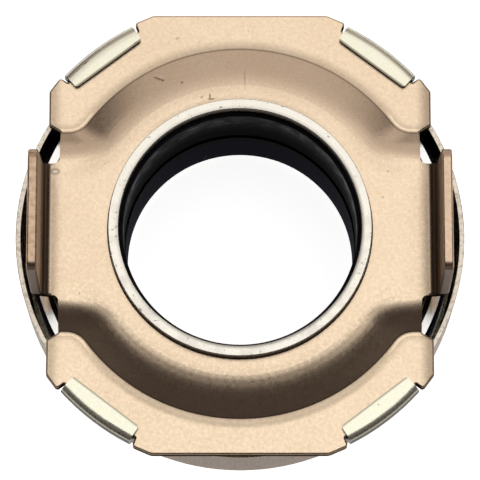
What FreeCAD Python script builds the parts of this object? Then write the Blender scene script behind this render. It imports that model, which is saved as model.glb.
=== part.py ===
"""Clutch release bearing: a self-centring ball bearing held in a steel cover under a fork plate.

The origin is the centre of the nose, on the plane that the nose rests on. +Z points to the rear,
along the guide tube that the bore slides on, and the two fork ears stand at +X and -X.
All lengths are in millimetres and all angles in degrees.
"""
import FreeCAD
import Part
import math
import os

from FreeCAD import Vector

# Bore, liner and sleeve
bore_radius = 17.5
liner_wall = 0.57
liner_groove_depth = 0.3
liner_rear_land = 9.6
liner_groove_width = 3.3
liner_rear_recess = 2.0
liner_front_recess = 0.2
liner_end_chamfer = 0.25
sleeve_wall = 1.53
sleeve_front_recess = 0.4
sleeve_protrusion = 1.8
sleeve_edge_round = 0.1
collar_width = 1.7
collar_height = 1.6
seat_gap = 0.02

# Rolling bearing
sleeve_gap = 1.6
inner_wall = 3.4
land_gap = 3.8
ball_diameter = 6.0
ball_count = 16
ball_gap = 0.06
race_conformity = 0.53
outer_race_wall = 2.5
inner_rear_inset = 0.5
ring_edge_round = 0.4
outer_front_round = 1.2
outer_rear_chamfer = 0.62

# Seals
seal_thickness = 0.8
seal_inset = 0.3
seal_groove_depth = 0.45
seal_lip_gap = 0.1
seal_lip_width = 0.9
seal_lip_height = 0.45

# Cage
cage_web = 0.7
cage_side_gap = 0.8
cage_rise = 1.5
cage_slot_width = 1.7
cage_slot_depth = 2.2
pocket_clearance = 0.15
seal_cage_gap = 0.25

# Nose of the inner ring
nose_height = 6.6
nose_step = 0.6
nose_shoulder_gap = 0.4
nose_outer_round = 2.0
nose_inner_round = 0.8

# Wave spring and the play that lets the bearing centre itself
float_travel = 0.6
float_spare = 0.1
spring_seat_depth = 1.0
spring_room = 3.5
spring_thickness = 0.5
spring_width = 2.7
spring_rim_inset = 2.5
spring_waves = 4
spring_rest_gap = 0.12
spring_seat_lip = 0.3
spring_ball_gap = 0.2

# Cover
cover_wall = 0.8
cover_lip_gap = 0.45
cover_corner_round = 1.7
cover_edge_gap = 1.3
cover_edge_round = 0.1
claw_angle = 52.6
claw_half_width = 6.4
claw_end_taper = 0.25
claw_step = 2.15
claw_bend_round = 1.15
claw_inner_bend = 0.35
claw_reach = 3.35
claw_corner_round = 0.5
notch_gap = 0.3
notch_side_gap = 0.25
notch_flare = 0.4
lobe_rise = 0.3

# Fork plate
plate_thickness = 1.5
plate_hole_gap = 0.08
plate_hole_round = 0.15
boss_rise = 1.8
boss_slope = 20.0
band_slope = 29.0
shoulder_bend_round = 7.0
crease_inset = 5.35
crease_corner_round = 3.6
band_half_width = 15.3
rim_length_inset = 0.04
rim_flat_inset = 2.83
arm_spread = 1.62
arm_drop = 2.18
arm_gap = 0.1
arm_flare = 1.1
rim_corner_round = 0.5
rim_flat_round = 2.0
rim_edge_round = 0.3
arm_inner_round = 0.4
notch_root_round = 0.15
relief_depth = 1.0
relief_round = 0.8

# Fork ears
ear_inset = 5.77
ear_side_inset = 5.2
ear_bend_round = 1.5
ear_height = 12.7
ear_taper = 0.9
ear_corner_round = 1.6
ear_waist_round = 8.0
ear_edge_round = 0.3

# Two lengths closer than this are the same length
tolerance = 1e-4

# Radii that follow, from the bore outwards
liner_outer = bore_radius + liner_wall
sleeve_inner = liner_outer + seat_gap
sleeve_outer = sleeve_inner + sleeve_wall
collar_outer = sleeve_outer + collar_width
inner_bore = sleeve_outer + sleeve_gap
inner_land = inner_bore + inner_wall
outer_land = inner_land + land_gap
pitch_radius = (inner_land + outer_land) / 2
ball_radius = ball_diameter / 2
race_radius = race_conformity * ball_diameter
outer_radius = pitch_radius + ball_radius + outer_race_wall
nose_outer = inner_land + nose_step
float_reach = float_travel * math.sqrt(2)
cover_inner = outer_radius + float_reach + float_spare
cover_outer = cover_inner + cover_wall
cover_lip = nose_outer + float_reach + cover_lip_gap
claw_outer = cover_outer + claw_step
claw_inner = claw_outer - cover_wall
crease_radius = cover_outer - crease_inset
ear_bend_start = cover_outer - ear_inset
ear_half = band_half_width - ear_side_inset

# Heights that follow, from the nose to the rear
cover_front = nose_height
ring_front = cover_front + cover_wall
front_room = seal_inset + seal_thickness + seal_cage_gap + cage_web + pocket_clearance
ball_height = ring_front + front_room + ball_radius
rear_room = spring_ball_gap + seal_thickness + spring_seat_lip + spring_seat_depth
ring_rear = ball_height + ball_radius + rear_room
spring_seat = ring_rear - spring_seat_depth
rim_under = ring_rear + spring_room
rim_top = rim_under + plate_thickness
boss_top = rim_top + boss_rise
boss_under = boss_top - plate_thickness
sleeve_rear = boss_top + sleeve_protrusion
ear_top = boss_top + ear_height

# Radii of the spring: its rim keeps clear of the counterbore while the bearing floats
spring_outer = outer_radius - spring_rim_inset
spring_bore = spring_outer + float_travel + float_spare
spring_inner = spring_outer - spring_width


def revolved(points):
    """Solid of revolution about Z from a closed outline of (radius, height) points."""
    corners = [Vector(r, 0, z) for r, z in points]
    face = Part.Face(Part.makePolygon(corners + corners[:1]))
    return face.revolve(Vector(0, 0, 0), Vector(0, 0, 1), 360)


def rim_edges(solid, radius, height):
    """Full circular edges of a solid at one radius and height."""
    found = []
    for edge in solid.Edges:
        curve = edge.Curve
        if isinstance(curve, Part.Circle):
            near_radius = abs(curve.Radius - radius) < tolerance
            near_height = abs(curve.Center.z - height) < tolerance
            if near_radius and near_height:
                found.append(edge)
    return found


def rounded(solid, radius, rims):
    """Solid with the circular edges at the given (radius, height) places rounded."""
    edges = [edge for r, z in rims for edge in rim_edges(solid, r, z)]
    return solid.makeFillet(radius, edges)


def corner_arc(before, corner, after, radius):
    """Start, middle and end of the arc that rounds one corner of an outline."""
    back = (before - corner).normalize()
    ahead = (after - corner).normalize()
    half = back.getAngle(ahead) / 2
    inward = (back + ahead).normalize()
    reach = radius / math.tan(half)
    middle = corner + inward * (radius / math.sin(half) - radius)
    return corner + back * reach, middle, corner + ahead * reach


def prism(corners, low, high):
    """Upright prism over a closed outline of (x, y) or (x, y, corner radius) corners."""
    points = [Vector(corner[0], corner[1], low) for corner in corners]
    radii = [corner[2] if len(corner) > 2 else 0 for corner in corners]
    edges = []
    arcs = []
    for index, radius in enumerate(radii):
        corner = points[index]
        if radius:
            after = points[(index + 1) % len(points)]
            arcs.append(corner_arc(points[index - 1], corner, after, radius))
        else:
            arcs.append((corner, corner, corner))
    for index, (start, middle, end) in enumerate(arcs):
        if radii[index]:
            edges.append(Part.Arc(start, middle, end).toShape())
        following = arcs[(index + 1) % len(arcs)][0]
        edges.append(Part.LineSegment(end, following).toShape())
    return Part.Face(Part.Wire(edges)).extrude(Vector(0, 0, high - low))


def turned(solid, angle):
    """Copy of a solid turned about Z."""
    copy = solid.copy()
    copy.rotate(Vector(0, 0, 0), Vector(0, 0, 1), angle)
    return copy


def mirrored(corners, flip_x, flip_y):
    """Corners mirrored across the planes that are asked for, with their radii."""
    return [(-x if flip_x else x, -y if flip_y else y, radius) for x, y, radius in corners]


def bore_liner():
    """Moulded liner with two lands and a groove between them."""
    rear = sleeve_rear - liner_rear_recess
    front = sleeve_front_recess + liner_front_recess
    groove_top = rear - liner_rear_land
    groove_low = groove_top - liner_groove_width
    groove_radius = bore_radius + liner_groove_depth
    return revolved([
        (liner_outer, front),
        (liner_outer, rear),
        (bore_radius + liner_end_chamfer, rear),
        (bore_radius, rear - liner_end_chamfer),
        (bore_radius, groove_top),
        (groove_radius, groove_top),
        (groove_radius, groove_low),
        (bore_radius, groove_low),
        (bore_radius, front + liner_end_chamfer),
        (bore_radius + liner_end_chamfer, front),
    ])


def hub_sleeve():
    """Steel tube with a collar that seats under the plate and an end that stands proud of it."""
    body = revolved([
        (sleeve_inner, sleeve_front_recess),
        (sleeve_outer, sleeve_front_recess),
        (sleeve_outer, boss_under - collar_height),
        (collar_outer, boss_under - collar_height),
        (collar_outer, boss_under),
        (sleeve_outer, boss_under),
        (sleeve_outer, sleeve_rear),
        (sleeve_inner, sleeve_rear),
    ])
    ends = [(r, z) for r in (sleeve_inner, sleeve_outer) for z in (sleeve_front_recess, sleeve_rear)]
    return rounded(body, sleeve_edge_round, ends)


def inner_ring():
    """Turning ring with the ball groove, reaching forward as a rounded nose."""
    rear = ring_rear - inner_rear_inset
    shoulder = cover_front + nose_shoulder_gap
    body = revolved([
        (inner_bore, 0),
        (nose_outer, 0),
        (nose_outer, shoulder),
        (inner_land, shoulder + nose_step),
        (inner_land, rear),
        (inner_bore, rear),
    ])
    body = rounded(body, nose_outer_round, [(nose_outer, 0)])
    body = rounded(body, nose_inner_round, [(inner_bore, 0)])
    body = rounded(body, ring_edge_round, [(inner_land, rear), (inner_bore, rear)])
    race_centre = pitch_radius - ball_radius - ball_gap + race_radius
    groove = Part.makeTorus(race_centre, race_radius, Vector(0, 0, ball_height))
    return body.cut(groove)


def outer_ring():
    """Standing ring with the ball groove, two seal grooves and a counterbore for the spring."""
    front_seal_low = ring_front + seal_inset
    front_seal_top = front_seal_low + seal_thickness
    rear_seal_top = spring_seat - spring_seat_lip
    rear_seal_low = rear_seal_top - seal_thickness
    groove = outer_land + seal_groove_depth
    body = revolved([
        (outer_radius, ring_front),
        (outer_radius, ring_rear - outer_rear_chamfer),
        (outer_radius - outer_rear_chamfer, ring_rear),
        (spring_bore, ring_rear),
        (spring_bore, spring_seat),
        (outer_land, spring_seat),
        (outer_land, rear_seal_top),
        (groove, rear_seal_top),
        (groove, rear_seal_low),
        (outer_land, rear_seal_low),
        (outer_land, front_seal_top),
        (groove, front_seal_top),
        (groove, front_seal_low),
        (outer_land, front_seal_low),
        (outer_land, ring_front),
    ])
    body = rounded(body, outer_front_round, [(outer_radius, ring_front)])
    race_centre = pitch_radius + ball_radius + ball_gap - race_radius
    groove = Part.makeTorus(race_centre, race_radius, Vector(0, 0, ball_height))
    return body.cut(groove)


def seal(low, faces_rear):
    """Rubber seal: a bead in the outer ring's groove, a thin web and a lip at the inner land."""
    top = low + seal_thickness
    edge = outer_land + seal_groove_depth - seat_gap
    lip = inner_land + seal_lip_gap
    thin = low + seal_lip_height if faces_rear else top - seal_lip_height
    web_low, web_top = (low, thin) if faces_rear else (thin, top)
    return revolved([
        (lip, low),
        (lip + seal_lip_width, low),
        (lip + seal_lip_width, web_low),
        (outer_land - seal_lip_width, web_low),
        (outer_land - seal_lip_width, low),
        (edge, low + seat_gap),
        (edge, top - seat_gap),
        (outer_land - seal_lip_width, top),
        (outer_land - seal_lip_width, web_top),
        (lip + seal_lip_width, web_top),
        (lip + seal_lip_width, top),
        (lip, top),
    ])


def ball(index):
    """One ball at its place on the pitch circle."""
    angle = math.radians(360 * index / ball_count)
    centre = Vector(pitch_radius * math.cos(angle), pitch_radius * math.sin(angle), ball_height)
    return Part.makeSphere(ball_radius, centre)


def ball_cage():
    """Moulded crown cage: a ring under the balls with pairs of prongs that hold each one."""
    low = ball_height - ball_radius - pocket_clearance - cage_web
    top = ball_height + cage_rise
    inner = inner_land + cage_side_gap
    outer = outer_land - cage_side_gap
    body = revolved([(inner, low), (outer, low), (outer, top), (inner, top)])
    pocket = Part.makeSphere(ball_radius + pocket_clearance, Vector(pitch_radius, 0, ball_height))
    slot_low = top - cage_slot_depth
    slot = prism([
        (inner - cage_side_gap, -cage_slot_width / 2),
        (outer + cage_side_gap, -cage_slot_width / 2),
        (outer + cage_side_gap, cage_slot_width / 2),
        (inner - cage_side_gap, cage_slot_width / 2),
    ], slot_low, top + cage_rise)
    step = 360 / ball_count
    cutters = [turned(pocket, index * step) for index in range(ball_count)]
    cutters += [turned(slot, (index + 0.5) * step) for index in range(ball_count)]
    return body.cut(cutters)


def wave_line(radius, middle, height):
    """Closed smooth line at one radius that waves up and down."""
    steps = 12 * spring_waves
    points = []
    for index in range(steps):
        angle = 2 * math.pi * index / steps
        rise = height / 2 * math.cos(spring_waves * angle)
        points.append(Vector(radius * math.cos(angle), radius * math.sin(angle), middle + rise))
    curve = Part.BSplineCurve()
    curve.interpolate(Points=points, PeriodicFlag=True)
    return curve.toShape()


def wave_spring():
    """Thin ring whose waves reach from the counterbore's shoulder to the underside of the plate."""
    low = spring_seat + spring_rest_gap
    top = rim_under - spring_rest_gap
    swing = top - low - spring_thickness
    middle = low + swing / 2
    sheet = Part.makeRuledSurface(
        wave_line(spring_inner, middle, swing),
        wave_line(spring_outer, middle, swing),
    )
    return sheet.extrude(Vector(0, 0, spring_thickness))


def claw(angle):
    """One claw of the cover: it steps out under the rim of the plate and folds over it."""
    ledge_low = rim_under - cover_wall
    fold_top = rim_top + cover_wall
    fold_inner = claw_outer - claw_reach - cover_wall
    root = ledge_low - cover_edge_gap
    body = revolved([
        (cover_inner, root),
        (cover_outer, root),
        (cover_outer, ledge_low),
        (claw_outer, ledge_low),
        (claw_outer, fold_top),
        (fold_inner, fold_top),
        (fold_inner, rim_top),
        (claw_inner, rim_top),
        (claw_inner, rim_under),
        (cover_inner, rim_under),
    ])
    body = rounded(body, claw_bend_round, [(claw_outer, fold_top), (cover_inner, rim_under)])
    body = rounded(body, claw_inner_bend, [(cover_outer, ledge_low)])
    body = rounded(body, cover_wall, [(claw_outer, ledge_low)])
    chord = claw_outer - claw_reach
    tip_half_width = claw_half_width - claw_end_taper
    strip = prism([
        (chord, -tip_half_width, claw_corner_round),
        (claw_outer, -claw_half_width),
        (claw_outer + claw_step, -claw_half_width),
        (claw_outer + claw_step, claw_half_width),
        (claw_outer, claw_half_width),
        (chord, tip_half_width, claw_corner_round),
    ], rim_top, fold_top)
    stem = prism([
        (0, -claw_half_width),
        (claw_outer + claw_step, -claw_half_width),
        (claw_outer + claw_step, claw_half_width),
        (0, claw_half_width),
    ], root, rim_top)
    return turned(body.common(strip.fuse(stem)), angle)


def level_edges(solid, height):
    """Edges of a solid that lie flat at one height."""
    found = []
    for edge in solid.Edges:
        box = edge.BoundBox
        if abs(box.ZMin - height) < tolerance and box.ZLength < tolerance:
            found.append(edge)
    return found


def claw_angles():
    """Directions of the four claws."""
    return [claw_angle, 180 - claw_angle, 180 + claw_angle, 360 - claw_angle]


def cover():
    """Drawn steel can with an inward lip at the front and four claws at the rear."""
    edge = rim_under - cover_edge_gap
    floor = cover_front + cover_wall
    body = revolved([
        (cover_lip, cover_front),
        (cover_outer, cover_front),
        (cover_outer, edge),
        (cover_inner, edge),
        (cover_inner, floor),
        (cover_lip, floor),
    ])
    body = rounded(body, cover_corner_round, [(cover_outer, cover_front)])
    body = rounded(body, cover_corner_round - cover_wall, [(cover_inner, floor)])
    body = rounded(body, cover_edge_round, [(cover_outer, edge), (cover_inner, edge)])
    body = body.fuse([claw(angle) for angle in claw_angles()])
    return body.removeSplitter()


def notch_corners():
    """Corners of one claw notch, from its end on the ear side to its end on the long side."""
    angle = math.radians(claw_angle)
    along = (math.cos(angle), math.sin(angle))
    half = claw_half_width + notch_side_gap
    depth = math.sqrt(claw_inner ** 2 - half ** 2) - notch_gap
    wide = half + notch_flare
    lobe = math.sqrt((claw_outer + lobe_rise) ** 2 - wide ** 2)
    places = [
        (lobe, -wide, rim_corner_round),
        (depth, -half, notch_root_round),
        (depth, half, notch_root_round),
        (lobe, wide, rim_corner_round),
    ]
    corners = []
    for out, side, radius in places:
        x = out * along[0] - side * along[1]
        y = out * along[1] + side * along[0]
        corners.append((x, y, radius))
    return corners


def rim_outline():
    """Outline of the flat sheet, one corner after another round the plate."""
    notch = notch_corners()
    ear_side = notch[0]
    long_side = notch[-1]
    side_half_span = ear_bend_start - relief_depth
    arm_low = band_half_width + arm_gap
    arm_half_span = ear_side[0] + arm_spread
    quarter = [
        (ear_bend_start, ear_half, 0),
        (side_half_span, ear_half, relief_round),
        (side_half_span, arm_low, arm_inner_round),
        (arm_half_span, arm_low + arm_flare, arm_inner_round),
        (arm_half_span, ear_side[1] - arm_drop, rim_corner_round),
    ]
    quarter += notch
    quarter.append((long_side[0] - rim_flat_inset, cover_outer - rim_length_inset, rim_flat_round))
    outline = list(quarter)
    outline += mirrored(quarter, True, False)[::-1]
    outline += mirrored(quarter, True, True)
    outline += mirrored(quarter, False, True)[::-1]
    return outline


def hill_outline(boss, half, height):
    """Outline of the raised middle: a boss of one radius and a band of one half width.

    The rounds in the corners between them meet the boss at the same four places at any height.
    The band runs on past the ears' bends, where the sheet's outline ends it.
    """
    toward = (band_half_width + crease_corner_round) / (crease_radius + crease_corner_round)
    corner = (boss * toward - half) / (1 - toward)
    centre_y = half + corner
    centre_x = math.sqrt((boss + corner) ** 2 - centre_y ** 2)
    meet = boss / (boss + corner)
    inward = Vector(-centre_x, -centre_y - math.hypot(centre_x, centre_y), 0).normalize() * corner

    def point(x, y):
        return Vector(x, y, height)

    side = []
    for sign in (1, -1):
        start = point(sign * cover_outer, sign * half)
        low = point(sign * centre_x, sign * half)
        deep = point(sign * (centre_x + inward.x), sign * (centre_y + inward.y))
        high = point(sign * centre_x * meet, sign * centre_y * meet)
        far_high = point(-high.x, high.y)
        far_deep = point(-deep.x, deep.y)
        far_low = point(-low.x, low.y)
        end = point(-start.x, start.y)
        side += [
            Part.LineSegment(start, low).toShape(),
            Part.Arc(low, deep, high).toShape(),
            Part.Arc(high, point(0, sign * boss), far_high).toShape(),
            Part.Arc(far_high, far_deep, far_low).toShape(),
            Part.LineSegment(far_low, end).toShape(),
            Part.LineSegment(end, point(end.x, -end.y)).toShape(),
        ]
    return Part.Wire(side)


def hill(bend, depth, low, top):
    """Raised middle of the plate, depth below the surface that the crease bounds.

    Its sides slope and turn into the flat top by a round of radius bend.
    """
    boss_angle = math.radians(boss_slope)
    band_angle = math.radians(band_slope)
    boss = crease_radius - depth * math.tan(boss_angle / 2)
    half = band_half_width - depth * math.tan(band_angle / 2)
    rise = top - low
    foot = hill_outline(boss, half, low)
    crest = hill_outline(boss - rise / math.tan(boss_angle), half - rise / math.tan(band_angle), top)
    body = Part.makeLoft([foot, crest], True, True)
    edges = []
    for edge in level_edges(body, top):
        middle = edge.valueAt((edge.FirstParameter + edge.LastParameter) / 2)
        if abs(middle.x) < cover_outer - tolerance:
            edges.append(edge)
    return body.makeFillet(bend, edges)


def ear():
    """Fork ear at +X: the band's sheet bent up, tapered, with its corners and edges rounded."""
    bend_z = boss_top + ear_bend_round
    inner_x = ear_bend_start + ear_bend_round
    outer_x = inner_x + plate_thickness
    outer_bend = ear_bend_round + plate_thickness
    root = ear_bend_start - plate_thickness
    mid = math.sqrt(0.5)
    centre = Vector(ear_bend_start, -ear_half, bend_z)

    def bend_point(radius, across, down):
        return centre + Vector(radius * across, 0, -radius * down)

    start_low = Vector(root, -ear_half, boss_under)
    start_top = Vector(root, -ear_half, boss_top)
    tip_outer = Vector(outer_x, -ear_half, ear_top)
    tip_inner = Vector(inner_x, -ear_half, ear_top)
    edges = [
        Part.LineSegment(start_low, bend_point(outer_bend, 0, 1)).toShape(),
        Part.Arc(
            bend_point(outer_bend, 0, 1),
            bend_point(outer_bend, mid, mid),
            bend_point(outer_bend, 1, 0),
        ).toShape(),
        Part.LineSegment(bend_point(outer_bend, 1, 0), tip_outer).toShape(),
        Part.LineSegment(tip_outer, tip_inner).toShape(),
        Part.LineSegment(tip_inner, bend_point(ear_bend_round, 1, 0)).toShape(),
        Part.Arc(
            bend_point(ear_bend_round, 1, 0),
            bend_point(ear_bend_round, mid, mid),
            bend_point(ear_bend_round, 0, 1),
        ).toShape(),
        Part.LineSegment(bend_point(ear_bend_round, 0, 1), start_top).toShape(),
        Part.LineSegment(start_top, start_low).toShape(),
    ]
    strip = Part.Face(Part.Wire(edges)).extrude(Vector(0, 2 * ear_half, 0))
    narrow = ear_half - ear_taper
    front = prism([
        (-ear_half, boss_under),
        (ear_half, boss_under),
        (ear_half, bend_z, ear_waist_round),
        (narrow, ear_top, ear_corner_round),
        (-narrow, ear_top, ear_corner_round),
        (-ear_half, bend_z, ear_waist_round),
    ], root, outer_x)
    front.rotate(Vector(0, 0, 0), Vector(1, 1, 1), 120)
    flap = strip.common(front)
    tips = [edge for edge in level_edges(flap, ear_top) if edge.BoundBox.XLength < tolerance]
    return flap.makeFillet(ear_edge_round, tips)


def fork_plate():
    """Stamped plate: flat rim, raised middle, hole for the sleeve and two ears bent up."""
    sheet = prism(rim_outline(), rim_under, boss_top + boss_rise)
    rim = prism(rim_outline(), rim_under, rim_top)
    rim = rim.makeFillet(rim_edge_round, level_edges(rim, rim_top))
    top = hill(shoulder_bend_round, 0, rim_top, boss_top).common(sheet)
    under = hill(shoulder_bend_round - plate_thickness, plate_thickness, rim_under, boss_under)
    body = rim.fuse(top).cut(under)
    flap = ear()
    body = body.fuse([flap, turned(flap, 180)])
    hole_radius = sleeve_outer + plate_hole_gap
    body = body.cut(Part.makeCylinder(hole_radius, 2 * boss_top)).removeSplitter()
    return rounded(body, plate_hole_round, [(hole_radius, boss_top)])


def pieces():
    """Every piece of the bearing by its name."""
    front_seal_low = ring_front + seal_inset
    rear_seal_low = spring_seat - spring_seat_lip - seal_thickness
    made = {
        "fork_plate": fork_plate(),
        "hub_sleeve": hub_sleeve(),
        "bore_liner": bore_liner(),
        "cover": cover(),
        "wave_spring": wave_spring(),
        "outer_ring": outer_ring(),
        "inner_ring": inner_ring(),
        "front_seal": seal(front_seal_low, True),
        "rear_seal": seal(rear_seal_low, False),
        "ball_cage": ball_cage(),
    }
    for index in range(ball_count):
        made["ball_%02d" % (index + 1)] = ball(index)
    return made


def main():
    os.makedirs("parts", exist_ok=True)
    for name, shape in pieces().items():
        shape.exportStep("parts/%s.step" % name)
        print(name, len(shape.Solids), shape.isValid(), round(shape.Volume, 2))


main()
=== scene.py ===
from collections import namedtuple
import math

import bpy
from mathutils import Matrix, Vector

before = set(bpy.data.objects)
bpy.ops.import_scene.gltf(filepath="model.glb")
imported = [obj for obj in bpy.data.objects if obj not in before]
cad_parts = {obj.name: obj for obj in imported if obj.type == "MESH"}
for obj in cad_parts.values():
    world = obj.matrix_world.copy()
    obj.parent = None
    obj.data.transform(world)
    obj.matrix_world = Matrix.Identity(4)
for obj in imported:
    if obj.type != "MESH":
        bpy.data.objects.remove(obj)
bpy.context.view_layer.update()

# Radii of the part, in millimetres
bore_radius = 17.5
sleeve_inner = 18.09
sleeve_outer = 19.62
spring_outer = 29.52
spring_bore = 30.22
ring_outer = 32.02
cover_outer = 33.77
claw_outer = 35.92

# Heights of the part above the floor, in millimetres
front_land_rear = 11.6
groove_height = 13.0
rear_land_front = 14.9
ring_rear = 17.9
cover_edge = 20.1
rim_top = 22.9
liner_rear = 24.5
boss_top = 24.7
ear_top = 37.4

# Crease round the plate's raised middle, and where the ears and the claws stand
crease_radius = 28.42
band_half_width = 15.3
crease_corner = 3.6
ear_foot = 28.0
claw_tip = 32.57
claw_angle = math.radians(52.6)

# Camera, fitted to the rings in the photograph: metres, and millimetres for the lens
camera_tilt = math.radians(13.02)
camera_place = (0.0, -0.1124, 0.5034)
sensor_width = 36.0
lens_length = 247.4

# A mark seen along Z: centre and half sizes in millimetres, turn in degrees, strength to 1
Mark = namedtuple("Mark", "place size turn strength")
long_scratch = Mark((-12.35, 23.55), (0.95, 0.16), -24.0, 0.75)
scratch_end = Mark((-11.65, 23.22), (0.22, 0.22), 0.0, 0.8)
# Painted glint along the long scratch
scratch_glint = Mark((-12.0, 24.0), (0.8, 0.25), -24.0, 0.4)
boss_speck = Mark((-8.76, 22.74), (0.24, 0.22), 0.0, 0.7)
rim_smear = Mark((-9.51, 30.08), (0.4, 0.25), 20.0, 0.35)
smudge_stem = Mark((-4.53, 20.5), (0.18, 0.5), 0.0, 0.7)
smudge_foot = Mark((-4.35, 20.08), (0.7, 0.18), 0.0, 0.65)
side_smudge = Mark((-5.75, 20.4), (0.35, 0.2), 30.0, 0.35)
hair_line = Mark((0.74, 23.2), (0.08, 1.7), 0.0, 0.5)
# Painted glint beside the hair line
hair_glint = Mark((1.06, 23.1), (0.08, 1.2), 0.0, 0.5)
west_speck = Mark((-23.82, -9.86), (0.16, 0.24), 0.0, 0.5)
east_speck = Mark((22.14, 8.89), (0.24, 0.24), 0.0, 0.35)
low_east_speck = Mark((21.33, 4.85), (0.26, 0.2), 0.0, 0.35)
# Painted highlight on a ding in the west bend, and painted shade round it
bend_ding_glint = Mark((-27.65, 8.8), (0.5, 0.3), 0.0, 0.5)
ding_shade = Mark((-27.65, 8.82), (0.9, 0.6), 0.0, 0.6)
sleeve_nick = Mark((-14.69, -12.66), (0.14, 0.36), 40.0, 0.8)
sleeve_pit = Mark((-2.86, 18.3), (0.3, 0.16), 0.0, 0.7)
claw_nick = Mark((-15.74, 29.2), (0.4, 0.2), 30.0, 0.5)
claw_dot = Mark((20.44, -26.4), (0.2, 0.2), 0.0, 0.5)

# Scuff on the liner's front edge: distance round the bore and height, in millimetres
scuff_along = 33.2
scuff_height = 2.5


def make_camera():
    """Camera above the bearing, leaning towards -Y as in the photograph."""
    data = bpy.data.cameras.new("camera")
    data.sensor_width = sensor_width
    data.lens = lens_length
    data.clip_start = 0.01
    data.clip_end = 20.0
    camera = bpy.data.objects.new("camera", data)
    bpy.context.collection.objects.link(camera)
    camera.location = camera_place
    camera.rotation_euler = (camera_tilt, 0.0, 0.0)
    bpy.context.scene.camera = camera


def area_light(name, place, target, size, brightness, colour=(1.0, 1.0, 1.0)):
    """Rectangular soft light that faces a point, in metres. A brightness of 1 looks white."""
    width, height = size
    data = bpy.data.lights.new(name, "AREA")
    data.shape = "RECTANGLE"
    data.size = width
    data.size_y = height
    data.energy = math.pi * width * height * brightness
    data.color = colour
    light = bpy.data.objects.new(name, data)
    bpy.context.collection.objects.link(light)
    light.location = place
    aim = Vector(target) - Vector(place)
    light.rotation_euler = aim.to_track_quat("-Z", "Y").to_euler()


def top_light(name, place, size, brightness, colour=(1.0, 1.0, 1.0)):
    """Soft light that faces straight down."""
    area_light(name, place, (place[0], place[1], 0.0), size, brightness, colour)


def make_lights():
    """A box over the part that fades at two edges, one that leans at +Y, and dim walls."""
    warm = (1.0, 0.92, 0.91)
    top_light("top_box", (0.09, 0.247, 1.1), (0.95, 0.5), 1.085)
    top_light("top_strip", (0.06, 0.05, 1.09), (0.95, 0.1), 0.7)
    top_light("top_fade", (0.04, 0.61, 1.09), (0.34, 0.22), 0.24, warm)
    area_light("rear_box", (0.055, 0.95, 0.95), (0.0, 0.0, 0.02), (1.43, 1.0), 0.49, warm)
    area_light("rear_wall", (0.03, 1.7, 0.45), (0.0, 0.0, 0.45), (2.5, 0.85), 0.25, warm)
    for side, brightness in ((-1, 0.13), (1, 0.23)):
        area_light("side_wall", (1.6 * side, 0.1, 0.3), (0.0, 0.0, 0.3), (1.8, 0.7), brightness)


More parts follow.
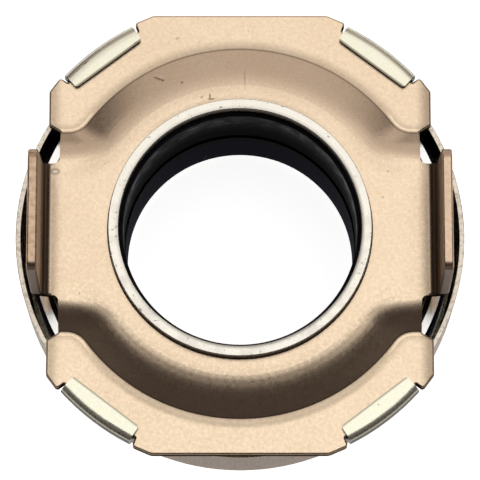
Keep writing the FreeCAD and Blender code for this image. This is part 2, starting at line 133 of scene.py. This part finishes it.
class Nodes:
    """Short hand for building one material's node tree. Lengths are in millimetres."""

    def __init__(self, name):
        self.material = bpy.data.materials.new(name)
        self.material.use_nodes = True
        self.tree = self.material.node_tree
        self.tree.nodes.clear()
        output = self.tree.nodes.new("ShaderNodeOutputMaterial")
        self.shader = self.tree.nodes.new("ShaderNodeBsdfPrincipled")
        self.join(self.shader.outputs[0], output.inputs["Surface"])
        coords = self.tree.nodes.new("ShaderNodeTexCoord")
        self.coords = coords.outputs["Object"]
        self.x, self.y, self.z = self.split(self.coords, 1000.0)
        self.radius = self.length(self.x, self.y)
        self.facing = self.split(coords.outputs["Normal"], 1.0)
        self.wall = self.ramp(self.size(self.facing[2]), 0.2, 0.95, 1.0, 0.0)

    def join(self, source, target):
        self.tree.links.new(source, target)

    def feed(self, node, index, value):
        """Sets or links one input of a node."""
        if isinstance(value, bpy.types.NodeSocket):
            self.join(value, node.inputs[index])
        else:
            node.inputs[index].default_value = value

    def set(self, **values):
        """Sets or links inputs of the shader by their names."""
        for name, value in values.items():
            self.feed(self.shader, name.replace("_", " "), value)

    def math(self, operation, first, second=0.0, third=0.0, clamp=False):
        node = self.tree.nodes.new("ShaderNodeMath")
        node.operation = operation
        node.use_clamp = clamp
        self.feed(node, 0, first)
        self.feed(node, 1, second)
        self.feed(node, 2, third)
        return node.outputs[0]

    def plus(self, first, second):
        return self.math("ADD", first, second)

    def minus(self, first, second):
        return self.math("SUBTRACT", first, second)

    def times(self, first, *others):
        """Product of several values."""
        for other in others:
            first = self.math("MULTIPLY", first, other)
        return first

    def size(self, value):
        """A value without its sign."""
        return self.math("ABSOLUTE", value)

    def rest(self, value):
        """What a share leaves of 1."""
        return self.minus(1.0, value)

    def least(self, first, second):
        return self.math("MINIMUM", first, second)

    def most(self, first, second):
        return self.math("MAXIMUM", first, second)

    def split(self, vector, scale):
        """X, Y and Z of a vector times a scale."""
        node = self.tree.nodes.new("ShaderNodeSeparateXYZ")
        self.feed(node, 0, vector)
        return [self.math("MULTIPLY", value, scale) for value in node.outputs]

    def length(self, x, y):
        """Distance from the origin of a plane."""
        square = self.math("MULTIPLY_ADD", x, x, self.math("MULTIPLY", y, y))
        return self.math("SQRT", square)

    def along_round(self, radius):
        """Distance round the Z axis at a radius, from +X."""
        return self.times(self.math("ARCTAN2", self.y, self.x), radius)

    def noise(self, scale, detail=3.0):
        """Noise over the surface, with this many patches to a metre."""
        node = self.tree.nodes.new("ShaderNodeTexNoise")
        self.feed(node, "Vector", self.coords)
        self.feed(node, "Scale", scale)
        self.feed(node, "Detail", detail)
        self.feed(node, "Roughness", 0.55)
        return node.outputs["Fac"]

    def lines(self, value, scale):
        """Noise along one value only, such as turning marks along a height."""
        node = self.tree.nodes.new("ShaderNodeTexNoise")
        node.noise_dimensions = "1D"
        self.feed(node, "W", value)
        self.feed(node, "Scale", scale)
        self.feed(node, "Detail", 3.0)
        return node.outputs["Fac"]

    def ramp(self, value, low, high, start=0.0, end=1.0):
        """Maps low..high to start..end, smoothly and clamped."""
        node = self.tree.nodes.new("ShaderNodeMapRange")
        node.interpolation_type = "SMOOTHSTEP"
        for index, item in enumerate((value, low, high, start, end)):
            self.feed(node, index, item)
        return node.outputs[0]

    def vary(self, noise, start=0.0, end=1.0):
        """Spreads the middle of a noise over start..end."""
        return self.ramp(noise, 0.3, 0.7, start, end)

    def above(self, value, limit):
        return self.math("GREATER_THAN", value, limit)

    def below(self, value, limit):
        return self.math("LESS_THAN", value, limit)

    def near(self, value, centre, inner, outer):
        """1 closer than inner to a centre, 0 farther than outer."""
        return self.ramp(self.size(self.minus(value, centre)), inner, outer, 1.0, 0.0)

    def mix(self, factor, first, second):
        """Mixes two colours."""
        node = self.tree.nodes.new("ShaderNodeMix")
        node.data_type = "RGBA"
        self.feed(node, 0, factor)
        for index, colour in ((6, first), (7, second)):
            if isinstance(colour, tuple):
                colour = (*colour, 1.0)
            self.feed(node, index, colour)
        return node.outputs[2]

    def mottle(self, noise, first, second):
        """Mixes two colours by a noise."""
        return self.mix(self.ramp(noise, 0.35, 0.65), first, second)

    def mix_value(self, factor, first, second):
        """Mixes two values."""
        return self.math("MULTIPLY_ADD", factor, self.minus(second, first), first)

    def bump(self, height, strength, distance):
        """Relief of a texture, with the distance in metres."""
        node = self.tree.nodes.new("ShaderNodeBump")
        self.feed(node, "Strength", strength)
        self.feed(node, "Distance", distance)
        self.feed(node, "Height", height)
        self.set(Normal=node.outputs[0])

    def marks(self, *marks):
        """Strength of the marks here, each a small soft ellipse."""
        total = 0.0
        for mark in marks:
            x = self.minus(self.x, mark.place[0])
            y = self.minus(self.y, mark.place[1])
            cosine = math.cos(math.radians(mark.turn))
            sine = math.sin(math.radians(mark.turn))
            along = self.math("MULTIPLY_ADD", x, cosine, self.times(y, sine))
            across = self.math("MULTIPLY_ADD", y, cosine, self.times(x, -sine))
            along = self.math("DIVIDE", along, mark.size[0])
            across = self.math("DIVIDE", across, mark.size[1])
            here = self.ramp(self.length(along, across), 0.5, 1.1, mark.strength, 0.0)
            total = self.most(here, total)
        return total


def crease_distance(n):
    """Distance outward from the crease round the plate's raised middle."""
    from_boss = n.minus(n.radius, crease_radius)
    from_band = n.minus(n.size(n.y), band_half_width)
    nearest = n.least(from_boss, from_band)
    centre_y = band_half_width + crease_corner
    centre_x = math.sqrt((crease_radius + crease_corner) ** 2 - centre_y ** 2)
    x = n.minus(n.size(n.x), centre_x)
    y = n.minus(n.size(n.y), centre_y)
    from_corner = n.minus(crease_corner, n.length(x, y))
    turn = n.minus(n.times(x, centre_y), n.times(y, centre_x))
    in_corner = n.times(n.below(x, 0.0), n.above(turn, 0.0))
    return n.mix_value(in_corner, nearest, from_corner)


def crease_relief(n, crease):
    """Height in millimetres that spreads the bend of the slope over its whole width."""
    toe_width = 2.6
    toe_depth = -0.01
    brow = n.ramp(crease, -7.8, -5.0, 0.0, -0.11)
    slope = n.ramp(crease, -5.1, -2.8, 0.0, 0.085)
    toe = n.most(n.least(n.plus(crease, toe_width), toe_width), 0.0)
    toe = n.times(toe, toe, toe_depth)
    relief = n.plus(n.plus(brow, slope), toe)
    on_boss = n.ramp(n.size(n.x), 22.0, 28.0, 1.0, 0.0)
    return n.times(relief, on_boss)


def crease_shade(n, crease):
    """Share of painted shade by the crease: a dark line and a band that fades outward, with
    more of it at -Y.
    """
    band = n.times(n.ramp(crease, 0.0, 1.8, 0.42, 0.0), n.above(crease, 0.0))
    low_ring = n.times(n.near(crease, 1.0, 0.1, 0.5), n.ramp(n.y, -18.0, -24.0, 0.0, 0.17))
    at_lobe = n.ramp(n.size(n.x), 21.5, 23.0)
    brink = n.times(n.near(crease, 0.4, 0.1, 0.25), at_lobe)
    band = n.times(n.plus(band, low_ring), n.rest(brink))
    line = n.times(n.near(crease, 0.0, 0.06, 0.28), 0.62)
    return n.times(n.most(band, line), n.below(n.z, rim_top + 0.7))


def slope_foot(n, crease):
    """How much less metallic the plating is at the foot of the slope at -Y."""
    foot = n.times(n.ramp(crease, -3.2, -0.4), n.below(crease, 0.05))
    foot = n.times(foot, n.below(n.z, boss_top - 0.2))
    return n.times(foot, n.ramp(n.y, -8.0, -12.0), n.ramp(n.y, -24.5, -20.0, 0.03, 0.13))


def plate_faces(n, grain, crease):
    """Colour of the plating on the plate's faces, with painted shade in the crease and round
    the sleeve at +Y.
    """
    plating = (0.915, 0.72, 0.505)
    light_plating = (0.95, 0.755, 0.54)
    grain_tone = (0.6, 0.45, 0.3)
    pit_tone = (0.2, 0.14, 0.09)
    shade = (0.1, 0.065, 0.04)
    colour = n.mix(n.vary(n.noise(150.0)), plating, light_plating)
    colour = n.mix(n.vary(grain, 0.0, 0.06), colour, grain_tone)
    pits = n.ramp(n.noise(3300.0, 2.0), 0.64, 0.74, 0.0, 0.3)
    colour = n.mix(pits, colour, pit_tone)
    colour = n.mix(crease_shade(n, crease), colour, shade)
    # Painted shade on the plate round the foot of the sleeve, at +Y only
    sleeve_shade = n.ramp(n.radius, sleeve_outer + 0.58, sleeve_outer + 1.28, 1.0, 0.0)
    sleeve_shade = n.times(sleeve_shade, n.ramp(n.y, 12.0, 19.0, 0.0, 0.18))
    return n.mix(sleeve_shade, colour, shade)


def plate_fold_shade(n, colour):
    """Colour with painted shade that darkens towards the two ears, more at +X, and in the fold
    at their feet.
    """
    ear_shade = (0.25, 0.18, 0.125)
    fold_shade = (0.12, 0.08, 0.055)
    side = n.size(n.x)
    west = n.ramp(side, ear_foot - 1.5, ear_foot + 0.3, 0.0, 0.5)
    east = n.ramp(side, ear_foot - 1.7, ear_foot + 0.4, 0.0, 0.7)
    by_ear = n.mix_value(n.above(n.x, 0.0), west, east)
    colour = n.mix(n.times(by_ear, n.above(n.z, rim_top - 0.1)), colour, ear_shade)
    fold = n.ramp(side, ear_foot + 0.15, ear_foot + 0.5, 0.0, 0.6)
    fold = n.times(fold, n.above(n.z, boss_top + 0.02), n.below(n.z, boss_top + 2.3))
    return n.mix(fold, colour, fold_shade)


def plate_marks(n, colour):
    """Colour with the scratches, specks and smudges on the plate's upper side, painted shade
    round a ding, and painted glints on a scratch, a hair line and the ding.
    """
    on_top = n.above(n.z, rim_top - 0.1)
    dark = n.marks(long_scratch, scratch_end, boss_speck, rim_smear, smudge_stem, smudge_foot,
                   side_smudge, hair_line, west_speck, east_speck, low_east_speck, ding_shade)
    # Painted glints: bright marks on the scratch, the hair line and the ding
    bright = n.marks(scratch_glint, hair_glint, bend_ding_glint)
    colour = n.mix(n.times(dark, on_top), colour, (0.14, 0.09, 0.05))
    return n.mix(n.times(bright, on_top), colour, (1.0, 0.95, 0.85))


def plate_walls(n, colour, sheared, ear_face, ear_end):
    """Colour with painted shade on the sheared walls, darkest in the bends at the ears' feet
    and lighter on the ear ends that face -Y, the ears' faces with painted shade on the east
    ear's inner face, and the ears' top ends.
    """
    sheared_wall_shade = (0.1, 0.072, 0.05)
    bend_shade = (0.045, 0.028, 0.016)
    ear_tone = (0.8, 0.64, 0.48)
    low_end_shade = (0.42, 0.34, 0.28)
    east_inner_shade = (0.42, 0.32, 0.24)
    worn_end = (0.52, 0.36, 0.24)
    light_end = (0.66, 0.48, 0.33)
    east_end = (0.85, 0.64, 0.46)
    east = n.above(n.x, 0.0)
    in_bend = n.times(n.above(n.size(n.x), ear_foot - 0.1), n.above(n.z, rim_top + 0.05))
    in_bend = n.times(in_bend, n.below(n.z, boss_top + 1.3))
    # Painted shade on the sheared walls, darkest in the bends at the ears' feet
    colour = n.mix(sheared, colour, n.mix(in_bend, sheared_wall_shade, bend_shade))
    # Lighter painted shade on the ear ends that face -Y
    colour = n.mix(ear_end, colour, low_end_shade)
    colour = n.mix(ear_face, colour, ear_tone)
    # Painted shade on the east ear's inner face
    east_inner = n.times(ear_face, east, n.below(n.facing[0], 0.0))
    colour = n.mix(east_inner, colour, east_inner_shade)
    end = n.mottle(n.noise(1100.0, 4.0), worn_end, light_end)
    end = n.mix(n.times(east, 0.5), end, east_end)
    return n.mix(n.above(n.z, ear_top - 0.35), colour, end)


def plate_material():
    """Satin bronze-toned plating with a fine grain, and painted shade on its sheared walls."""
    n = Nodes("plate_plating")
    grain = n.noise(1700.0)
    crease = crease_distance(n)
    sideways = n.ramp(n.size(n.facing[0]), 0.85, 0.97)
    ear_face = n.times(sideways, n.above(n.z, boss_top + 0.3))
    sheared = n.times(n.wall, n.rest(ear_face))
    ear_end = n.times(n.above(n.size(n.x), ear_foot - 0.1), n.above(n.z, boss_top + 0.8))
    ear_end = n.times(ear_end, n.below(n.facing[1], -0.5))
    colour = plate_faces(n, grain, crease)
    colour = plate_fold_shade(n, colour)
    colour = plate_marks(n, colour)
    colour = plate_walls(n, colour, sheared, ear_face, ear_end)
    dull = n.most(n.times(ear_end, 0.6), slope_foot(n, crease))
    rough = n.math("MULTIPLY_ADD", sheared, 0.25, n.vary(grain, 0.26, 0.31))
    rough = n.math("MULTIPLY_ADD", ear_face, 0.25, rough)
    n.set(Base_Color=colour, Metallic=n.rest(dull), Roughness=rough)
    # The sheared walls' dark specular tint is painted shade as well
    n.set(Specular_Tint=n.mix(sheared, (0.9, 0.85, 0.8), (0.12, 0.1, 0.08)))
    grain_height = 0.0002
    millimetre = 0.001
    height = n.math("MULTIPLY_ADD", grain, grain_height, crease_relief(n, crease))
    n.bump(height, 1.0, millimetre)
    return n.material


def metal_material(name, colour, roughness):
    """Plain bright steel with a fine grain."""
    n = Nodes(name)
    grain = n.noise(3000.0)
    dark = tuple(0.88 * c for c in colour)
    n.set(Base_Color=n.mottle(grain, dark, colour), Metallic=1.0)
    n.set(Roughness=n.vary(grain, roughness - 0.03, roughness + 0.03))
    n.bump(grain, 0.1, 0.00001)
    return n.material


def sleeve_material():
    """Ground steel end with small pits, grey patches that grow towards -Y, and painted shade on
    its edges, over darker walls.
    """
    n = Nodes("sleeve_steel")
    steel = (0.94, 0.89, 0.785)
    light_steel = (1.0, 0.965, 0.85)
    grey_patch_tone = (0.62, 0.56, 0.5)
    pit_tone = (0.25, 0.22, 0.2)
    nick_tone = (0.1, 0.08, 0.07)
    inner_edge_shade = (0.2, 0.175, 0.15)
    outer_edge_shade = (0.3, 0.26, 0.2)
    inside_wall = (0.3, 0.27, 0.24)
    outside_wall = (0.62, 0.55, 0.47)
    grain = n.noise(2600.0)
    colour = n.mottle(grain, steel, light_steel)
    # Grey patches, more of them towards -Y
    grey_patches = n.times(n.ramp(n.noise(420.0), 0.42, 0.66), n.ramp(n.y, 12.0, -4.0, 0.1, 0.4))
    colour = n.mix(grey_patches, colour, grey_patch_tone)
    pits = n.ramp(n.noise(1500.0, 2.0), 0.64, 0.71, 0.0, 0.6)
    colour = n.mix(pits, colour, pit_tone)
    colour = n.mix(n.marks(sleeve_nick, sleeve_pit), colour, nick_tone)
    # Painted shade on the rounded inner edge, strongest towards +X and -Y
    inner = n.ramp(n.minus(n.x, n.y), -10.0, 22.0, 0.35, 0.85)
    inner = n.times(inner, n.ramp(n.radius, sleeve_inner + 0.03, sleeve_inner + 0.66, 1.0, 0.0))
    colour = n.mix(inner, colour, inner_edge_shade)
    # Painted shade on the outer edge, growing towards +Y
    outer = n.ramp(n.radius, sleeve_outer - 0.2, sleeve_outer - 0.02)
    outer = n.times(outer, n.ramp(n.y, 0.0, 16.0, 0.0, 0.45))
    colour = n.mix(outer, colour, outer_edge_shade)
    outside = n.times(n.above(n.radius, sleeve_outer - 0.32), n.above(n.z, boss_top))
    wall = n.mix(outside, inside_wall, outside_wall)
    colour = n.mix(n.wall, colour, wall)
    dull = n.times(n.wall, outside, 0.5)
    n.set(Base_Color=colour, Metallic=n.rest(dull), Roughness=n.vary(grain, 0.26, 0.31))
    n.set(Specular_Tint=n.mix(n.wall, (1.0, 1.0, 1.0), wall))
    n.bump(grain, 0.15, 0.00001)
    return n.material


def liner_colour(n, rings, grain, in_front):
    """Black with fine lines round the rear land and a bluish shine on the front land, painted
    shade towards the groove on both lands and a painted highlight along the rear edge.
    """
    resin = (0.008, 0.0078, 0.0105)
    light_line = (0.026, 0.0245, 0.029)
    dark_grain = (0.006, 0.0057, 0.008)
    deep_shade = (0.001, 0.001, 0.002)
    front_resin = (0.008, 0.0075, 0.02)
    front_shade = (0.001, 0.0011, 0.002)
    rear = n.mottle(rings, resin, light_line)
    rear = n.mix(n.ramp(grain, 0.35, 0.65, 0.0, 0.5), rear, dark_grain)
    # Painted shade on the rear land, darker deeper down towards the groove
    rear = n.mix(n.ramp(n.z, rear_land_front + 0.6, liner_rear - 3.0, 1.0, 0.0), rear, deep_shade)
    # Painted shade on the front land, darker up towards the groove
    front = n.ramp(n.z, front_land_rear - 3.1, front_land_rear - 0.4)
    front = n.mix(front, front_resin, front_shade)
    colour = n.mix(in_front, rear, front)
    # Painted highlight along the liner's rear edge
    edge = n.times(n.near(n.z, liner_rear - 0.2, 0.1, 0.3), 0.5)
    return n.mix(edge, colour, (0.03, 0.03, 0.036))


def liner_material():
    """Black moulded resin with a scuffed front edge."""
    n = Nodes("liner_resin")
    rings = n.lines(n.math("MULTIPLY_ADD", n.noise(120.0), 2.5, n.z), 1.6)
    grain = n.noise(1200.0)
    in_front = n.below(n.z, groove_height)
    scuff = n.near(n.along_round(bore_radius), scuff_along, 0.3, 0.9)
    scuff = n.times(scuff, n.near(n.z, scuff_height, 0.3, 1.1))
    scuff = n.times(scuff, n.ramp(n.noise(1400.0, 4.0), 0.4, 0.6))
    colour = n.mix(scuff, liner_colour(n, rings, grain, in_front), (0.09, 0.085, 0.09))
    n.set(Base_Color=colour, Specular_IOR_Level=0.018, Specular_Tint=(0.86, 0.86, 1.0, 1.0))
    streaks = n.times(n.ramp(rings, 0.35, 0.7), n.ramp(n.noise(500.0), 0.35, 0.65))
    land = n.mix_value(streaks, 0.65, 0.25)
    rear = n.mix_value(n.ramp(n.z, rear_land_front + 0.6, liner_rear - 2.0), 0.85, land)
    n.set(Roughness=n.mix_value(in_front, rear, 0.78))
    n.bump(grain, 0.2, 0.00003)
    return n.material


def claw_shade(n, colour, north):
    """Colour of the claws, with painted shade along their tips and, at +Y, along their bends.
    """
    inward = n.math("MULTIPLY_ADD", n.x, -0.01, n.radius)
    # Painted shade along the bends of the claws at +Y
    by_bend = n.ramp(inward, claw_outer - 1.92, claw_outer - 0.72, 0.05, 0.55)
    outermost = n.ramp(n.radius, claw_outer - 0.92, claw_outer - 0.42, 1.0, 0.1)
    colour = n.mix(n.times(by_bend, outermost, north), colour, (0.4, 0.33, 0.26))
    along_x = n.times(n.size(n.x), math.cos(claw_angle))
    along_y = n.times(n.size(n.y), math.sin(claw_angle))
    # Painted shade along the claws' tips, stronger at +Y
    by_tip = n.ramp(n.plus(along_x, along_y), claw_tip + 0.13, claw_tip + 0.43)
    by_tip = n.times(n.rest(by_tip), n.mix_value(north, 0.65, 0.85))
    return n.mix(by_tip, colour, (0.22, 0.17, 0.11))


def cover_material():
    """Pale zinc plating: satin claws, a rough sheared rim and a duller side."""
    n = Nodes("cover_zinc")
    zinc = (0.98, 0.94, 0.73)
    light_zinc = (1.0, 0.99, 0.81)
    rim_tone = (0.8, 0.72, 0.6)
    torn_tone = (0.3, 0.23, 0.17)
    nick_tone = (0.25, 0.2, 0.15)
    drawn_dark = (0.4, 0.345, 0.32)
    drawn_light = (0.44, 0.38, 0.355)
    claw_wall = (0.11, 0.099, 0.088)
    side_tint = (0.42, 0.39, 0.36)
    claw_tint = (0.16, 0.145, 0.13)
    grain = n.noise(2600.0)
    north = n.above(n.y, 0.0)
    claw = n.above(n.z, cover_edge + 0.4)
    plain = n.mottle(grain, zinc, light_zinc)
    rim = n.times(n.above(n.z, cover_edge - 0.25), n.below(n.z, cover_edge + 0.2))
    rim = n.times(rim, n.rest(n.wall))
    torn = n.ramp(n.noise(1600.0, 4.0), 0.45, 0.7, 0.0, 0.55)
    plain = n.mix(rim, plain, rim_tone)
    plain = n.mix(n.times(rim, torn), plain, torn_tone)
    plain = n.mix(n.marks(claw_nick, claw_dot), plain, nick_tone)
    colour = n.mix(claw, plain, claw_shade(n, plain, north))
    drawn = n.vary(n.lines(n.along_round(cover_outer), 2.5))
    side = n.mix(claw, n.mix(drawn, drawn_dark, drawn_light), claw_wall)
    colour = n.mix(n.wall, colour, side)
    low_bend = n.times(n.near(n.radius, claw_outer - 0.82, 0.1, 0.45), n.rest(north), 0.4)
    dull = n.times(n.wall, n.mix_value(north, 0.65, 0.3))
    dull = n.times(n.most(dull, low_bend), claw)
    n.set(Base_Color=colour, Metallic=n.rest(dull), Roughness=n.vary(grain, 0.26, 0.31))
    n.set(Specular_Tint=n.mix(n.wall, (1.0, 1.0, 1.0), n.mix(claw, side_tint, claw_tint)))
    n.bump(grain, 0.12, 0.00001)
    return n.material


def ring_material():
    """Ground bearing steel with turning marks, a dark bluish chamfer with a painted highlight
    on its edge, and painted shade in the counterbore.
    """
    n = Nodes("ring_steel")
    counterbore = (0.015, 0.012, 0.01)
    dark_bluish = (0.065, 0.07, 0.1)
    chamfer_highlight = (0.28, 0.28, 0.33)
    turning = n.lines(n.radius, 6.0)
    rear = n.above(n.z, ring_rear - 1.4)
    colour = n.mottle(turning, (0.9, 0.88, 0.84), (0.97, 0.95, 0.91))
    # Painted shade in the counterbore round the spring
    colour = n.mix(n.times(n.below(n.radius, spring_bore + 0.02), rear), colour, counterbore)
    # Dark bluish tone on the outer chamfer
    colour = n.mix(n.times(n.above(n.radius, ring_outer - 0.6), rear), colour, dark_bluish)
    # Painted highlight along the chamfer's outer edge
    edge = n.times(n.near(n.radius, ring_outer - 0.07, 0.06, 0.16), rear)
    colour = n.mix(edge, colour, chamfer_highlight)
    n.set(Base_Color=colour, Metallic=1.0, Roughness=n.vary(turning, 0.17, 0.24))
    n.bump(turning, 0.1, 0.00001)
    return n.material


def spring_material():
    """Spring steel made dark as painted shade, with a painted highlight along its outer edge.
    """
    n = Nodes("spring_steel")
    grain = n.noise(1500.0)
    colour = n.mottle(grain, (0.05, 0.043, 0.037), (0.09, 0.08, 0.07))
    # Painted highlight along the spring's outer edge
    colour = n.mix(n.above(n.radius, spring_outer - 0.22), colour, (0.62, 0.57, 0.5))
    n.set(Base_Color=colour, Metallic=1.0, Roughness=n.vary(grain, 0.32, 0.4))
    n.bump(grain, 0.15, 0.00001)
    return n.material


def dull_material(name, colour, roughness):
    """Moulded resin or rubber."""
    n = Nodes(name)
    grain = n.noise(900.0, 4.0)
    light = tuple(1.5 * c for c in colour)
    n.set(Base_Color=n.mottle(grain, colour, light), Specular_IOR_Level=0.2)
    n.set(Roughness=n.vary(grain, roughness - 0.05, roughness + 0.05))
    n.bump(grain, 0.2, 0.00003)
    return n.material


def dress(name, material):
    """Gives a node of the frame its material."""
    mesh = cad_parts[name].data
    mesh.materials.clear()
    mesh.materials.append(material)


def make_floor():
    """Wide pale floor that the bearing stands on, white to the camera and in reflections."""
    bpy.ops.mesh.primitive_plane_add(size=8.0, location=(0.0, 0.0, 0.0))
    floor = bpy.context.object
    floor.name = "floor"
    n = Nodes("floor_paper")
    grain = n.noise(30.0, 2.0)
    n.set(Base_Color=n.mix(grain, (0.93, 0.93, 0.93), (0.96, 0.96, 0.96)), Roughness=0.9)
    rays = n.tree.nodes.new("ShaderNodeLightPath")
    seen = n.plus(rays.outputs["Is Camera Ray"], rays.outputs["Is Glossy Ray"])
    seen = n.math("ADD", seen, rays.outputs["Is Transmission Ray"], clamp=True)
    n.set(Emission_Color=(1.0, 1.0, 1.0, 1.0), Emission_Strength=n.times(seen, 0.9))
    floor.data.materials.append(n.material)


def make_world():
    """Dim even surroundings."""
    world = bpy.data.worlds.new("studio")
    world.use_nodes = True
    bpy.context.scene.world = world
    back = world.node_tree.nodes["Background"]
    back.inputs["Color"].default_value = (1.0, 0.78, 0.77, 1.0)
    back.inputs["Strength"].default_value = 0.045


def dress_all():
    """Gives every node of the frame its material."""
    dress("fork_plate", plate_material())
    dress("hub_sleeve", sleeve_material())
    dress("bore_liner", liner_material())
    dress("cover", cover_material())
    dress("wave_spring", spring_material())
    dress("outer_ring", ring_material())
    dress("inner_ring", metal_material("nose_steel", (0.93, 0.92, 0.9), 0.24))
    rubber = dull_material("seal_rubber", (0.015, 0.013, 0.012), 0.6)
    dress("front_seal", rubber)
    dress("rear_seal", rubber)
    dress("ball_cage", dull_material("cage_nylon", (0.45, 0.36, 0.2), 0.5))
    ball = metal_material("ball_steel", (0.9, 0.9, 0.92), 0.08)
    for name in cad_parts:
        if name.startswith("ball_") and name != "ball_cage":
            dress(name, ball)


def main():
    bpy.context.scene.view_settings.view_transform = "Standard"
    make_camera()
    make_lights()
    make_world()
    make_floor()
    dress_all()


main()
